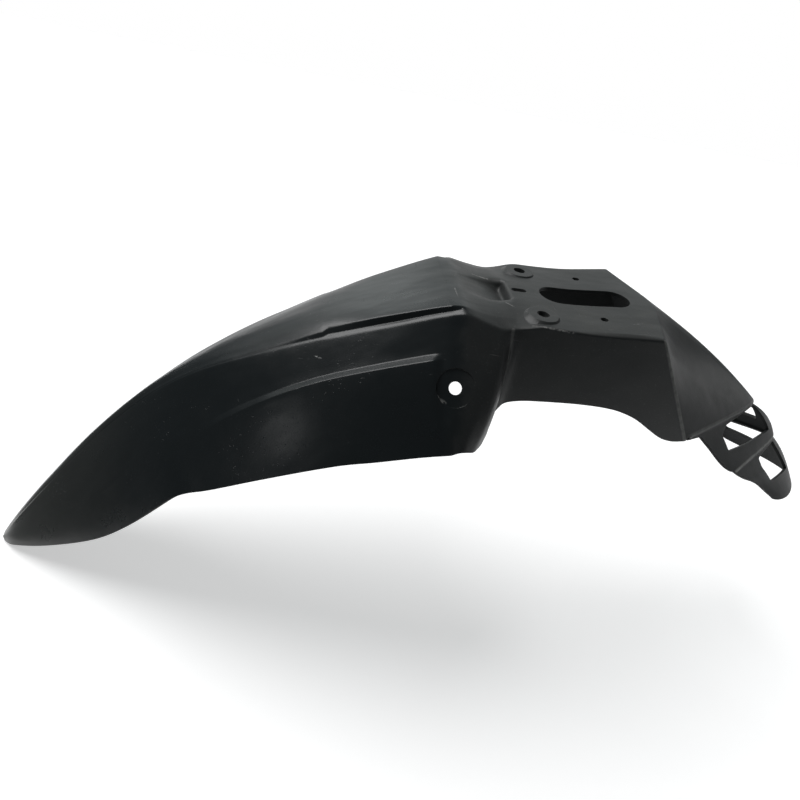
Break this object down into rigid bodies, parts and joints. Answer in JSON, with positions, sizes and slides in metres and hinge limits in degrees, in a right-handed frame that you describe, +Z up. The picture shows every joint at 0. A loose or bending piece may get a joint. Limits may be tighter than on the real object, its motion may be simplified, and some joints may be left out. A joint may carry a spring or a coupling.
{
  "type": "motorcycle front mudguard",
  "caption": "High front mudguard for an off-road motorcycle, a moulded shell: pointed beak, bolt-on plate, raised rear panel and a windowed tail.",
  "frame": {"origin": "centre of the four-bolt pattern, at the height of the raised pads that seat under the fork yoke", "axes": "+X rearward along the machine, +Y to the right-hand side, +Z up, square to the mounting plate"},
  "size_m": [0.6821, 0.1972, 0.2927],
  "materials": {
    "black_plastic": "scuffed satin to gloss black moulded polypropylene"
  },
  "bodies": {
    "root": {"mudguard": "black_plastic"}
  },
  "joints": []
}
